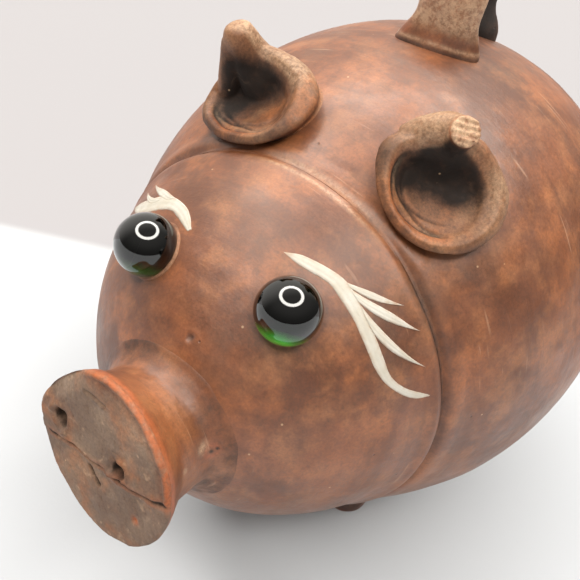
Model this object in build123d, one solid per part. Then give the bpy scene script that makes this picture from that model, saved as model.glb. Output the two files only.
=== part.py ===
"""A hand-made clay pig bank, as the separate pieces that a potter joins.

Millimetres. The pig stands on z = 0 and faces -Y, with its left side at +X. The
origin is the middle of its bounding box, on the ground. Places are measured from
the body's centre, and every piece is moved onto the ground at the end.

The body and the head are two thrown, hollow shells that meet at a seam. Lumps of
clay for the ears, feet, tail, carrying loop and snout sit face to face on them.
The eyes are glass marbles, pressed into the wall and held by a thin clay lip.
"""
from build123d import *
import os

# Where the body's centre stands
BODY_Y = 16.0
BODY_Z = 85.0

# Thrown shells: half length along the throwing axis, radius across it
BODY_WALL = 7.0
HEAD_WALL = 6.0
BODY_HALF_LENGTH = 95.4
BODY_RADIUS = 77.6
HEAD_HALF_LENGTH = 81.5
HEAD_RADIUS = 61.6
HEAD_CENTRE = (0, -32.7, 4.1)
HEAD_DROOP = 9.0
SEAM_Y = -65.8
FAR = 400.0

# Clay coil that lutes the seam from inside
COIL_RING_RADIUS = 48.0
COIL_RADIUS = 5.0

# Coin slot, along the back behind the loop
SLOT_Y = 55.0
SLOT_LENGTH = 36.0
SLOT_WIDTH = 5.0
SLOT_DEPTH = 50.0

# Snout: a flared neck closed by a flat disc
SNOUT_CENTRE = (0, -129.1, 1.9)
SNOUT_YAW = -4.2
SNOUT_TILT = 5.4
SNOUT_RIM_RADIUS = 22.8
SNOUT_WAIST_RADIUS = 17.9
SNOUT_ROOT_RADIUS = 20.5
SNOUT_WAIST_DEPTH = 13.5
SNOUT_LENGTH = 26.0
SNOUT_BORE_RADIUS = 12.0
SNOUT_BORE_LENGTH = 40.0
DISC_RADIUS = 19.0
DISC_THICKNESS = 5.0
NOSTRIL_RADIUS = 2.4
NOSTRILS = ((5.5, 1.2), (-15.6, 0.8))

# Eyes: where each marble's centre is, how far it stands out of the head, its clay lip
MARBLE_RADIUS = 8.0
EYE_STAND_OUT = 3.2
LIP_RADIUS = 1.3
LIP_RING_RADIUS = 7.6
EYES = {
    "left": (20.3, -93.7, 40.2),
    "right": (-20.7, -96.7, 37.0),
}

# Brows: brush strokes in slip, seen from the front as (x, z) spines with half widths
SLIP = 0.4
BROW_NEAR_Y = -120.0
BROW_FAR_Y = -55.0
BROWS = {
    "brow_left": (
        (((10.7, 46.9), (21.2, 45.3), (31.5, 39.3), (39.0, 31.2), (45.2, 23.8), (52.1, 19.1)),
         (0.9, 1.3, 1.5, 1.0)),
        (((24.5, 44.0), (31.5, 42.4), (38.2, 40.2)), (0.7,)),
        (((29.0, 41.3), (36.6, 38.6), (43.4, 35.0)), (0.8,)),
        (((33.5, 37.5), (40.2, 33.2), (48.2, 26.8)), (1.2,)),
    ),
    "brow_right": (
        (((-12.9, 42.2), (-18.5, 42.9), (-24.5, 41.6), (-31.0, 37.8), (-38.0, 32.6), (-44.4, 27.7)),
         (0.9, 1.2, 1.4, 1.1)),
        (((-26.0, 41.6), (-32.5, 39.4), (-39.8, 36.4)), (0.8,)),
        (((-28.5, 39.8), (-35.0, 36.9), (-41.9, 33.2)), (0.9,)),
    ),
}

# Ears: the pad's middle, the horn's tip, and the thumb-pressed cup's middle
EAR_PAD_RADIUS = 14.5
EAR_PAD_HALF_HEIGHT = 10.0
EAR_ROOT_RADIUS = 11.0
EAR_TIP_RADIUS = 4.0
EAR_CUP_RADIUS = 11.0
EARS = {
    "left": ((29.8, -51.1, 58.1), (33.8, -53.2, 78.5), (34.2, -59.5, 66.8)),
    "right": ((-22.6, -53.1, 60.0), (-31.8, -56.4, 81.0), (-26.9, -61.7, 68.6)),
}

# Carrying loop: a strap arched over the back, a little askew from fore and aft
LOOP_X = -2.25
LOOP_YAW = 13.6
LOOP_FRONT_Y = -6.0
LOOP_BACK_Y = 25.0
LOOP_STRAIGHT_TOP = 90.0
LOOP_BOTTOM = 60.0
STRAP_WIDTH = 18.5
STRAP_THICKNESS = 7.0
STRAP_ROUNDING = 3.0
LOOP_FLARE_WIDTH = 26.0
LOOP_FLARE_THICKNESS = 11.0
LOOP_FLARE_TOP = 86.0

# Feet: stub cones, (x, y) of each from the body's centre
FOOT_SOLE_RADIUS = 8.5
FOOT_ROOT_RADIUS = 14.0
FOOT_HEIGHT = 30.0
FOOT_ROUNDING = 2.0
FEET = {
    "foot_front_left": (27.0, -31.0),
    "foot_front_right": (-27.0, -31.0),
    "foot_rear_left": (28.0, 38.0),
    "foot_rear_right": (-28.0, 38.0),
}

# Tail: a coil of clay curled against the rump
TAIL_RADIUS = 2.8
TAIL_CURL_RADIUS = 7.0
TAIL_SWEEP = 290.0
TAIL_Y = 96.8
TAIL_Z = 12.0
TAIL_ROOT_RADIUS = 5.0


def spheroid(half_length, radius):
    """A solid of revolution about Y with an elliptical outline."""
    upper_half = Ellipse(half_length, radius) & Pos(0, radius / 2) * Rectangle(2 * half_length, radius)
    return revolve(Plane.YZ * upper_half, Axis.Y)


def body_form(inset=0.0):
    """The body's whole egg, without the cut at the seam."""
    return spheroid(BODY_HALF_LENGTH - inset, BODY_RADIUS - inset)


def head_form(inset=0.0):
    """The head's whole egg, nose down by its droop."""
    egg = spheroid(HEAD_HALF_LENGTH - inset, HEAD_RADIUS - inset)
    return Pos(*HEAD_CENTRE) * Rot(X=HEAD_DROOP) * egg


def ahead_of_seam():
    """Everything in front of the seam's plane."""
    return Pos(0, SEAM_Y - FAR / 2, 0) * Box(FAR, FAR, FAR)


def snout_place():
    """The snout's frame: origin in the disc's front face, +Z out of it, +Y up."""
    return Pos(*SNOUT_CENTRE) * Rot(Z=SNOUT_YAW) * Rot(X=90 - SNOUT_TILT)


def head_outward(point):
    """The direction straight out of the head beside a point near its surface."""
    local = (Vector(*point) - Vector(*HEAD_CENTRE)).rotate(Axis.X, -HEAD_DROOP)
    steepest = Vector(local.X / HEAD_RADIUS**2, local.Y / HEAD_HALF_LENGTH**2, local.Z / HEAD_RADIUS**2)
    return steepest.rotate(Axis.X, HEAD_DROOP).normalized()


def marble(side):
    """One eye, a glass ball."""
    return Pos(*EYES[side]) * Sphere(MARBLE_RADIUS)


def body_shell():
    """The thrown body, open at the seam and slotted along the back."""
    slot_top = Pos(0, SLOT_Y, BODY_RADIUS - SLOT_DEPTH / 2)
    slot = slot_top * Box(SLOT_WIDTH, SLOT_LENGTH, SLOT_DEPTH)
    slot = fillet(slot.edges().filter_by(Axis.Z), SLOT_WIDTH / 2 - 0.1)
    return body_form() - body_form(BODY_WALL) - ahead_of_seam() - slot


def head_shell():
    """The thrown head, open at the seam and bored where the snout joins."""
    bore = snout_place() * Pos(0, 0, -SNOUT_BORE_LENGTH / 2) * Cylinder(SNOUT_BORE_RADIUS, SNOUT_BORE_LENGTH)
    shell = (head_form() - head_form(HEAD_WALL)) & ahead_of_seam()
    return shell - bore - marble("left") - marble("right")


def neck_luting_coil():
    """A ring of clay pressed into the inside corner of the seam."""
    ring = Pos(0, SEAM_Y, 0) * Rot(X=90) * Torus(COIL_RING_RADIUS, COIL_RADIUS)
    hollow = (body_form(BODY_WALL) - ahead_of_seam()) + (head_form(HEAD_WALL) & ahead_of_seam())
    return ring & hollow


def snout_collar():
    """The flared neck, rebated at its mouth for the disc."""
    root = (SNOUT_ROOT_RADIUS, -SNOUT_LENGTH)
    waist = (SNOUT_WAIST_RADIUS, -SNOUT_WAIST_DEPTH)
    rim = (SNOUT_RIM_RADIUS, -1.5)
    lip = (SNOUT_RIM_RADIUS - 1.2, 0)
    outline = ThreePointArc(root, waist, rim)
    outline += Line(rim, lip)
    outline += Polyline(lip, (DISC_RADIUS, 0), (DISC_RADIUS, -DISC_THICKNESS),
                        (SNOUT_BORE_RADIUS, -DISC_THICKNESS), (SNOUT_BORE_RADIUS, -SNOUT_LENGTH), root)
    turned = revolve(Plane.XZ * make_face(outline), Axis.Z)
    return snout_place() * turned - head_form()


def snout_disc():
    """The flat disc that closes the snout, with two poked nostrils."""
    disc = Pos(0, 0, -DISC_THICKNESS / 2) * Cylinder(DISC_RADIUS, DISC_THICKNESS)
    for across, up in NOSTRILS:
        disc -= Pos(across, up, 0) * Cylinder(NOSTRIL_RADIUS, 3 * DISC_THICKNESS)
    return snout_place() * disc


def eye_lip(side):
    """The ring of clay smoothed up against a marble."""
    seat = Plane(origin=EYES[side], z_dir=head_outward(EYES[side])).offset(-EYE_STAND_OUT)
    return seat * Torus(LIP_RING_RADIUS, LIP_RADIUS) - marble(side) - head_form()


def stroke(spine, half_widths):
    """One brush stroke: pointed at both ends, as wide as given in between."""
    line = Spline(*spine)
    upper = [spine[0]]
    lower = [spine[0]]
    steps = len(half_widths) + 1
    for step, half_width in enumerate(half_widths, start=1):
        middle = line @ (step / steps)
        sideways = (line % (step / steps)).cross(Vector(0, 0, 1)) * half_width
        upper.append(middle - sideways)
        lower.append(middle + sideways)
    edges = Spline(*upper, spine[-1]) + Spline(*lower, spine[-1])
    return make_face(edges)


def brow(strokes):
    """A skin of slip on the head, in the outline of its brush strokes."""
    skin = head_form(-SLIP) - head_form()
    depth = BROW_FAR_Y - BROW_NEAR_Y
    paint = None
    for spine, half_widths in strokes:
        flat = Plane(origin=(0, BROW_FAR_Y, 0), x_dir=(1, 0, 0), z_dir=(0, -1, 0)) * stroke(spine, half_widths)
        prism = extrude(flat, depth)
        paint = prism if paint is None else paint + prism
    return paint & skin


def ear(base, tip, cup):
    """A lump pinched up into a horn, with a cup pressed in front of it."""
    outward = Vector(base[0] / BODY_RADIUS**2, base[1] / BODY_HALF_LENGTH**2, base[2] / BODY_RADIUS**2)
    pad = Plane(origin=base, z_dir=outward) * Rot(X=90) * spheroid(EAR_PAD_HALF_HEIGHT, EAR_PAD_RADIUS)
    lean = Vector(*tip) - Vector(*base)
    horn = Pos(0, 0, lean.length / 2) * Cone(EAR_ROOT_RADIUS, EAR_TIP_RADIUS, lean.length)
    lump = pad + Plane(origin=base, z_dir=lean) * horn + Pos(*tip) * Sphere(EAR_TIP_RADIUS)
    return lump - Pos(*cup) * Sphere(EAR_CUP_RADIUS) - body_form() - (head_form() & ahead_of_seam())


def back_loop():
    """The strap, with each end spread where it is pressed onto the back."""
    middle = (LOOP_FRONT_Y + LOOP_BACK_Y) / 2
    bend = (LOOP_BACK_Y - LOOP_FRONT_Y) / 2
    front_top = (LOOP_FRONT_Y, LOOP_STRAIGHT_TOP)
    back_top = (LOOP_BACK_Y, LOOP_STRAIGHT_TOP)
    path = Line((LOOP_FRONT_Y, LOOP_BOTTOM), front_top)
    path += ThreePointArc(front_top, (middle, LOOP_STRAIGHT_TOP + bend), back_top)
    path += Line(back_top, (LOOP_BACK_Y, LOOP_BOTTOM))
    section = RectangleRounded(STRAP_WIDTH, STRAP_THICKNESS, STRAP_ROUNDING)
    strap = sweep(Pos(0, LOOP_FRONT_Y, LOOP_BOTTOM) * section, path=Plane.YZ * path)
    for y in (LOOP_FRONT_Y, LOOP_BACK_Y):
        foot = Pos(0, y, LOOP_BOTTOM) * RectangleRounded(LOOP_FLARE_WIDTH + 8, LOOP_FLARE_THICKNESS + 4, 5)
        top = Pos(0, y, LOOP_FLARE_TOP) * section
        strap += loft([foot, top])
    askew = Pos(LOOP_X, middle, 0) * Rot(Z=LOOP_YAW) * Pos(0, -middle, 0)
    return askew * strap - body_form()


def foot(x, y):
    """A stub cone, flat underneath, cut to the belly's curve above."""
    cone = Cone(FOOT_SOLE_RADIUS, FOOT_ROOT_RADIUS, FOOT_HEIGHT)
    cone = fillet(cone.edges().sort_by(Axis.Z)[0], FOOT_ROUNDING)
    return Pos(x, y, FOOT_HEIGHT / 2 - BODY_Z) * cone - body_form()


def tail_curl():
    """One turn of a thin coil, with the lump that fixes it to the rump."""
    ring = revolve(Plane.XY * Pos(TAIL_CURL_RADIUS, 0) * Circle(TAIL_RADIUS), Axis.Y, TAIL_SWEEP)
    start = Pos(TAIL_CURL_RADIUS, 0, 0) * Sphere(TAIL_RADIUS)
    end = Rot(Y=TAIL_SWEEP) * start
    curl = Pos(0, TAIL_Y, TAIL_Z) * (ring + start + end)
    root = Pos(TAIL_CURL_RADIUS, TAIL_Y - TAIL_RADIUS, TAIL_Z) * Sphere(TAIL_ROOT_RADIUS)
    return curl + root - body_form()


def assembly():
    """Every piece by its node's name, placed from the body's centre."""
    nodes = {
        "body_shell": body_shell(),
        "head_shell": head_shell(),
        "neck_luting_coil": neck_luting_coil(),
        "snout_collar": snout_collar(),
        "snout_disc": snout_disc(),
        "back_loop": back_loop(),
        "tail_curl": tail_curl(),
    }
    for side in EYES:
        nodes["eye_marble_" + side] = marble(side)
        nodes["eye_lip_" + side] = eye_lip(side)
        nodes["ear_" + side] = ear(*EARS[side])
    for name, strokes in BROWS.items():
        nodes[name] = brow(strokes)
    for name, place in FEET.items():
        nodes[name] = foot(*place)
    return nodes


os.makedirs("parts", exist_ok=True)
for name, piece in assembly().items():
    export_step(Pos(0, BODY_Y, BODY_Z) * piece, "parts/" + name + ".step")
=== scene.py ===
"""The clay pig bank's looks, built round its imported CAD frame.

Shapes are worked out in millimetres from the middle of the body, with the pig facing -Y
and its left side at +X, and become metres when their meshes are made.
"""
import itertools
import math

import bpy
import numpy as np
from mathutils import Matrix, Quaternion, Vector


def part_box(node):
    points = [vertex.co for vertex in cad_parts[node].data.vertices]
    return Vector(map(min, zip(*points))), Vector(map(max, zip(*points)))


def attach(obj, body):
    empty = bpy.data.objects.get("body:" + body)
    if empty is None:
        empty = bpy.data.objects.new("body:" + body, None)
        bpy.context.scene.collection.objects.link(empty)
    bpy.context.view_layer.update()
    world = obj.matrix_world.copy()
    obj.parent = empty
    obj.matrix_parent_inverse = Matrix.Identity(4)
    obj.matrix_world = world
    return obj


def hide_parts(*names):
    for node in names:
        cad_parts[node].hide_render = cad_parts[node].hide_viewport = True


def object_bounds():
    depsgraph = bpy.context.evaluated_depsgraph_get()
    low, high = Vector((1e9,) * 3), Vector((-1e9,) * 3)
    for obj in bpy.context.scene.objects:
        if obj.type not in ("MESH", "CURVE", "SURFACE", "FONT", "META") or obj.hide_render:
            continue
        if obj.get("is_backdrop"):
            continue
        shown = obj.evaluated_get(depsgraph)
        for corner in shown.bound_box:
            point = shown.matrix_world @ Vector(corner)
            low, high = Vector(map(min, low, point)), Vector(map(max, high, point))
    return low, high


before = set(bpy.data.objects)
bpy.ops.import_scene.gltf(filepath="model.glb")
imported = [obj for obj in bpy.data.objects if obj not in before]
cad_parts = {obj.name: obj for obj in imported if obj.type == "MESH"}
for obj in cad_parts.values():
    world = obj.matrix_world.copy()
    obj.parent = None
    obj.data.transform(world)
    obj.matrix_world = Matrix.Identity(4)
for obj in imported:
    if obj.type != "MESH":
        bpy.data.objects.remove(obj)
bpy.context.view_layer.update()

MM = 0.001
BODY_HALF_LENGTH = 95.4
BODY_RADIUS = 77.6
BODY_WALL = 7.0
HEAD_HALF_LENGTH = 81.5
HEAD_RADIUS = 61.6
HEAD_WALL = 6.0
HEAD_CENTRE = np.array([0.0, -32.7, 4.1])
HEAD_DROOP = math.radians(9.0)
SEAM_Y = -65.8
SEAM_RADIUS = 56.7
SEAM_RISE = 0.8
# how far the skin runs for each millimetre along Y, next to the seam
BODY_SLOPE = 1.265
HEAD_SLOPE = 1.055
MARBLE_RADIUS = 8.0
EYE_GLOW = {"left": 1.0, "right": 0.12}
SLOT_Y = 55.0
SLOT_LENGTH = 36.0
SLOT_WIDTH = 5.0
SLOT_DEPTH = 50.0
BORE_RADIUS = 12.0

shell_low, shell_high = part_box("body_shell")
CENTRE = np.array([
    (shell_low.x + shell_high.x) / 2 / MM,
    shell_high.y / MM - BODY_HALF_LENGTH,
    (shell_low.z + shell_high.z) / 2 / MM,
])
GROUND = -CENTRE[2]


# --- numbers and curves

def smooth(value, low=0.0, high=1.0):
    """0 up to low, 1 from high on, eased in between."""
    part = np.clip((value - low) / (high - low), 0.0, 1.0)
    return part * part * (3 - 2 * part)


def bell(value, width):
    """1 at zero, falling away on both sides."""
    return np.exp(-(value / width) ** 2)


def mix(first, second, part):
    return first + (second - first) * part


def unit(vectors):
    return vectors / np.linalg.norm(vectors, axis=-1, keepdims=True)


def circle(count):
    """This many angles once round, in radians."""
    return np.linspace(0, 2 * math.pi, count, endpoint=False)


def xyz(*parts):
    """Points from their coordinates, each a number or an array."""
    return np.stack(np.broadcast_arrays(*parts), axis=-1)


def distance(points, middle):
    return np.linalg.norm(points - np.array(middle), axis=-1)


def window(value, low, full, falling, high):
    """0 outside low to high, 1 from full to falling, eased in between."""
    return smooth(value, low, full) * (1 - smooth(value, falling, high))


def hashed(cells, seed):
    """A repeatable random number from 0 to 1 for each whole-number cell."""
    x, y, z = (cells[..., axis] for axis in range(3))
    number = (x * 73856093) ^ (y * 19349663) ^ (z * 83492791) ^ (seed * 19260817)
    number = number & 0xFFFFFFFF
    for _ in range(2):
        number = ((number ^ (number >> 16)) * 0x45D9F3B) & 0xFFFFFFFF
    return (number & 0xFFFFFF) / 0xFFFFFF


def value_noise(points, seed):
    """Smooth noise from -1 to 1 with cells one unit wide."""
    cells = np.floor(points).astype(np.int64)
    part = points - cells
    part = part * part * (3 - 2 * part)
    total = 0.0
    for corner in itertools.product((0, 1), repeat=3):
        weight = np.prod(np.where(np.array(corner) == 1, part, 1 - part), axis=-1)
        total = total + weight * hashed(cells + np.array(corner), seed)
    return 2 * total - 1


def fractal(points, size, seed, octaves=4):
    """Noise of several sizes, the largest this many millimetres wide."""
    total = 0.0
    whole = 0.0
    for octave in range(octaves):
        strength = 0.5 ** octave
        total = total + strength * value_noise(points * (2 ** octave / size) + 17.3 * octave, seed + octave)
        whole += strength
    return total / whole


def curve_through(points, count, closed=False):
    """A smooth curve through the points, as many evenly spaced points along it."""
    knots = np.asarray(points, float)
    if closed:
        knots = np.vstack([knots[-1:], knots, knots[:2]])
    else:
        knots = np.vstack([2 * knots[:1] - knots[1:2], knots, 2 * knots[-1:] - knots[-2:-1]])
    spans = len(knots) - 3
    at = np.linspace(0, spans, count * 8 + 1)
    span = np.minimum(at.astype(int), spans - 1)
    part = (at - span)[:, None]
    a, b, c, d = (knots[span + shift] for shift in range(4))
    dense = 0.5 * (2 * b + (c - a) * part + (2 * a - 5 * b + 4 * c - d) * part ** 2
                   + (3 * b - a - 3 * c + d) * part ** 3)
    along = np.concatenate([[0], np.cumsum(np.linalg.norm(np.diff(dense, axis=0), axis=1))])
    wanted = np.linspace(0, along[-1], count + 1 if closed else count)
    if closed:
        wanted = wanted[:-1]
    return np.stack([np.interp(wanted, along, dense[:, axis]) for axis in range(dense.shape[1])], axis=1)


def profiles(knots, columns, count):
    """A smooth line in each column through knots of (across, along), each one number or a ring of them."""
    rings = np.array([xyz(across, along, np.zeros(columns))[:, :2] for across, along in knots])
    return np.stack([curve_through(rings[:, i], count) for i in range(columns)], axis=1)


def around(table, angles):
    """Values at any angle in degrees, eased between the table's rows of (angle, value, ...)."""
    rows = np.array(sorted(table), float)
    keys = np.concatenate([rows[-2:, 0] - 360, rows[:, 0], rows[:2, 0] + 360])
    values = np.vstack([rows[-2:, 1:], rows[:, 1:], rows[:2, 1:]])
    slopes = (values[2:] - values[:-2]) / (keys[2:] - keys[:-2])[:, None]
    keys = keys[1:-1]
    values = values[1:-1]
    at = (angles - keys[0]) % 360 + keys[0]
    row = np.clip(np.searchsorted(keys, at, side="right") - 1, 0, len(keys) - 2)
    span = (keys[row + 1] - keys[row])[:, None]
    part = (at - keys[row])[:, None] / span
    two, three = part ** 2, part ** 3
    return ((2 * three - 3 * two + 1) * values[row] + (three - 2 * two + part) * span * slopes[row]
            + (3 * two - 2 * three) * values[row + 1] + (three - two) * span * slopes[row + 1])


def growing_steps(total, first, growth, largest):
    """Places from 0 to total whose spacing grows from first up to largest."""
    places = [0.0]
    while places[-1] < total:
        places.append(places[-1] + min(first + growth * places[-1], largest))
    return np.array(places) * total / places[-1]


def nearest_on(points, line):
    """Each flat point's distance to a line of points, and on which side it lies."""
    best = np.full(points.shape[0], 1e9)
    side = np.ones(points.shape[0])
    for start, end in zip(line[:-1], line[1:]):
        run = end - start
        part = np.clip((points - start) @ run / (run @ run), 0, 1)
        gap = points - start - part[:, None] * run
        distance = np.linalg.norm(gap, axis=1)
        closer = distance < best
        best = np.where(closer, distance, best)
        side = np.where(closer, np.sign(run[0] * gap[:, 1] - run[1] * gap[:, 0]), side)
    return best, side


# --- meshes

def skin(rows, joined=False):
    """Faces over rings of points. The end rings are capped, or joined to each other."""
    count, across = rows.shape[:2]
    index = np.arange(count * across).reshape(count, across)
    beside = np.roll(index, -1, axis=1)
    above = np.roll(index, -1, axis=0)
    far = np.roll(beside, -1, axis=0)
    last = count if joined else count - 1
    faces = np.stack([index, beside, far, above], axis=-1)[:last].reshape(-1, 4).tolist()
    points = rows.reshape(-1, 3)
    if not joined:
        points = np.vstack([points, rows[0].mean(axis=0), rows[-1].mean(axis=0)])
        start, end = count * across, count * across + 1
        faces += [(beside[0, i], index[0, i], start) for i in range(across)]
        faces += [(index[-1, i], beside[-1, i], end) for i in range(across)]
    return points, faces


def tube(line, thick, columns, beside=(0.0, 1.0, 0.0)):
    """Rings of points round a line, as thick as given at each of its points."""
    forward = unit(np.gradient(line, axis=0))
    across = unit(np.cross(forward, np.array(beside)))
    up = np.cross(across, forward)
    turn = circle(columns)[:, None]
    offset = np.cos(turn) * across[:, None] + np.sin(turn) * up[:, None]
    return line[:, None] + thick[:, None, None] * offset


def turned_out(points, faces):
    """The closed mesh's faces, all turned outward."""
    total = 0.0
    for sides in (3, 4):
        group = np.array([face for face in faces if len(face) == sides])
        for corner in range(1, sides - 1):
            if len(group):
                a, b, c = points[group[:, 0]], points[group[:, corner]], points[group[:, corner + 1]]
                total += np.einsum("ij,ij->", a, np.cross(b, c))
    return [face[::-1] for face in faces] if total < 0 else faces


def mesh_object(name, points, faces):
    """An object from points in millimetres, its faces turned outward."""
    mesh = bpy.data.meshes.new(name)
    mesh.from_pydata(((points + CENTRE) * MM).tolist(), [], turned_out(points, faces))
    mesh.validate()
    item = bpy.data.objects.new(name, mesh)
    bpy.context.scene.collection.objects.link(item)
    return item


def joined(solids):
    """Several closed skins as one set of points and faces, each turned outward."""
    points, faces, start = [], [], 0
    for more, sides in solids:
        points.append(more)
        faces += [tuple(corner + start for corner in side) for side in turned_out(more, sides)]
        start += len(more)
    return np.vstack(points), faces


def apply_modifiers(item):
    graph = bpy.context.evaluated_depsgraph_get()
    changed = bpy.data.meshes.new_from_object(item.evaluated_get(graph))
    item.modifiers.clear()
    item.data = changed


def carve(item, tools):
    """Cuts closed tools out of the object."""
    for tool in tools:
        cut = item.modifiers.new("cut", "BOOLEAN")
        cut.operation = "DIFFERENCE"
        cut.solver = "EXACT"
        cut.object = tool
    apply_modifiers(item)
    for tool in tools:
        bpy.data.objects.remove(tool)


def fuse(item, voxel, passes):
    """Melts overlapping solids into one skin whose faces are this many millimetres across."""
    melt = item.modifiers.new("melt", "REMESH")
    melt.mode = "VOXEL"
    melt.voxel_size = voxel * MM
    soften = item.modifiers.new("soften", "SMOOTH")
    soften.factor = 0.5
    soften.iterations = passes
    apply_modifiers(item)


def places(item):
    """The object's points, in millimetres from the body's middle."""
    flat = np.empty(len(item.data.vertices) * 3)
    item.data.vertices.foreach_get("co", flat)
    return flat.reshape(-1, 3) / MM - CENTRE


def normals(item):
    flat = np.empty(len(item.data.vertices) * 3)
    item.data.vertex_normals.foreach_get("vector", flat)
    return flat.reshape(-1, 3)


def move(item, points):
    item.data.vertices.foreach_set("co", ((points + CENTRE) * MM).ravel())
    item.data.update()


def finish_piece(item, node, material, marks=None, crease=None):
    """Hands a piece to the frame in place of its CAD node."""
    mesh = item.data
    mesh.polygons.foreach_set("use_smooth", np.ones(len(mesh.polygons), bool))
    if crease is not None:
        mesh.set_sharp_from_angle(angle=math.radians(crease))
    marks = marks or {}
    for mark in ("soot_and_shade", "worn", "pale"):
        values = np.zeros(len(mesh.vertices))
        if mark in marks:
            given = np.asarray(marks[mark], float).ravel()
            values[:len(given)] = np.clip(given, 0, 1)
        layer = mesh.attributes.new(mark, "FLOAT", "POINT")
        layer.data.foreach_set("value", values)
    mesh.materials.clear()
    mesh.materials.append(material)
    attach(item, "root")
    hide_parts(node)
    return item


def ball(name, centre, radius, columns=64, rows=40):
    lat = np.linspace(-90, 90, rows + 2)[1:-1, None] * math.pi / 180
    lon = circle(columns)
    rings = xyz(np.cos(lat) * np.cos(lon), np.cos(lat) * np.sin(lon), np.sin(lat))
    return mesh_object(name, *skin(np.asarray(centre) + radius * rings))


# --- the two shells

def clock(points):
    """Degrees round the throwing axis, 0 at the top and 90 at the pig's left."""
    return np.degrees(np.arctan2(points[..., 0], points[..., 2] - SEAM_RISE))


def seam_strength(points):
    """How deep the seam's crease is: nearly smeared over between the ears."""
    angle = clock(points)
    between_ears = smooth(np.abs(angle - 2), 24, 46)
    return mix(0.3, 1.0, between_ears) * (1 + 0.22 * fractal(points, 14, 71, 2))


PITS = (
    # middle, radius, depth
    ((2.1, -72.0, 55.6), 0.75, 1.6),
    ((-3.1, -74.8, 54.1), 0.8, 0.35),
    ((25.4, -75.4, 47.2), 0.7, 0.4),
    ((2.5, -105.0, 27.2), 1.3, 0.5),
    ((14.3, -111.3, 3.3), 1.6, 0.8),
    ((18.0, -109.8, 2.0), 1.1, 0.5),
    ((38.1, -8.7, 67.2), 0.6, 0.2),
)


def shared_relief(points):
    """Unevenness that thrown and scraped clay has, in millimetres along its surface's outward direction."""
    relief = 0.55 * fractal(points, 48, 3, 2) + 0.16 * fractal(points, 13, 11, 3)
    relief = relief + 0.05 * fractal(points * np.array([0.25, 1.6, 0.25]), 5, 29, 2)
    for centre, radius, depth in PITS:
        gap = np.linalg.norm(points - np.array(centre), axis=-1)
        relief = relief - depth * (1 - smooth(gap, radius * 0.35, radius))
        relief = relief + 0.12 * bell(gap - radius * 1.25, radius * 0.4)
    return relief


def head_relief(points):
    gap = HEAD_SLOPE * (SEAM_Y - points[..., 1])
    strength = seam_strength(points)
    angle = clock(points)
    lip = 0.3 + 0.4 * smooth(angle, 20, 60)
    groove = -1.35 * bell(gap, 1.25) + lip * bell(gap - 3.1, 1.9) - 0.25 * bell(gap - 9.0, 4.0)
    return shared_relief(points) + strength * groove


def body_relief(points):
    gap = BODY_SLOPE * (points[..., 1] - SEAM_Y)
    strength = seam_strength(points)
    groove = -1.35 * bell(gap, 1.5) + 0.25 * bell(gap - 4.5, 2.4)
    return shared_relief(points) + strength * groove


class Egg:
    """A thrown egg lying along Y, tipped forward by an angle, with its own unevenness."""

    def __init__(self, centre, radius, half_length, angle, relief):
        self.centre = np.array(centre)
        self.axes = np.array([radius, half_length, radius])
        self.angle = angle
        self.relief = relief

    def turned(self, vectors, sign=1):
        """From the egg's own frame to the pig's, or back again with sign -1."""
        c, s = math.cos(self.angle), sign * math.sin(self.angle)
        x, y, z = (vectors[..., axis] for axis in range(3))
        return np.stack([x, c * y - s * z, s * y + c * z], axis=-1)

    def outward(self, points):
        return unit(self.turned(self.turned(points - self.centre, -1) / self.axes ** 2))

    def meet(self, start, way):
        """Where rays first meet the smooth egg."""
        way = np.zeros_like(start) + way
        o = self.turned(start - self.centre, -1) / self.axes
        d = self.turned(way, -1) / self.axes
        a = (d * d).sum(-1)
        b = (o * d).sum(-1)
        c = (o * o).sum(-1) - 1
        return start + ((-b - np.sqrt(np.maximum(b * b - a * c, 0))) / a)[..., None] * way

    def uneven(self, points, lift=0.0):
        """Points on the smooth egg moved out to its uneven skin, and lifted off it."""
        return points + (self.relief(points) + lift)[..., None] * self.outward(points)

    def land(self, start, way, lift=0.0):
        """Where rays meet the uneven skin."""
        return self.uneven(self.meet(start, way), lift)


BODY = Egg((0.0, 0.0, 0.0), BODY_RADIUS, BODY_HALF_LENGTH, 0.0, body_relief)
HEAD = Egg(HEAD_CENTRE, HEAD_RADIUS, HEAD_HALF_LENGTH, HEAD_DROOP, head_relief)


def hoops(y, across, high, middle, columns):
    """Rings about the Y axis, each with a half width, a half height and a middle height."""
    angle = circle(columns)
    return xyz(across[:, None] * np.sin(angle), y[:, None], middle[:, None] + high[:, None] * np.cos(angle))


def body_rows(columns=400):
    """The body's double wall, from its inner pole round the seam's edge to its outer pole."""
    sweep = np.linspace(math.asin(SEAM_Y / BODY_HALF_LENGTH), math.pi / 2, 4000)
    y = BODY_HALF_LENGTH * np.sin(sweep)
    r = BODY_RADIUS * np.cos(sweep)
    along = np.concatenate([[0], np.cumsum(np.hypot(np.diff(y), np.diff(r)))])
    steps = growing_steps(along[-1] - 1.0, 0.32, 0.05, 1.28)
    y = np.interp(steps, along, y)
    r = np.interp(steps, along, r)
    to_seam = 1 - smooth(steps, 0, 8)
    r = r + to_seam * (SEAM_RADIUS - r[0])
    rows = BODY.uneven(hoops(y, r, r, SEAM_RISE * to_seam, columns))
    rows[0, :, 1] = SEAM_Y
    sweep = np.linspace(math.asin(SEAM_Y / (BODY_HALF_LENGTH - BODY_WALL)), math.pi / 2 - 0.02, 22)
    r = (BODY_RADIUS - BODY_WALL) * np.cos(sweep)
    inner = hoops((BODY_HALF_LENGTH - BODY_WALL) * np.sin(sweep), r, r, 0 * r, columns)
    return np.concatenate([inner[::-1], rows])


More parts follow.
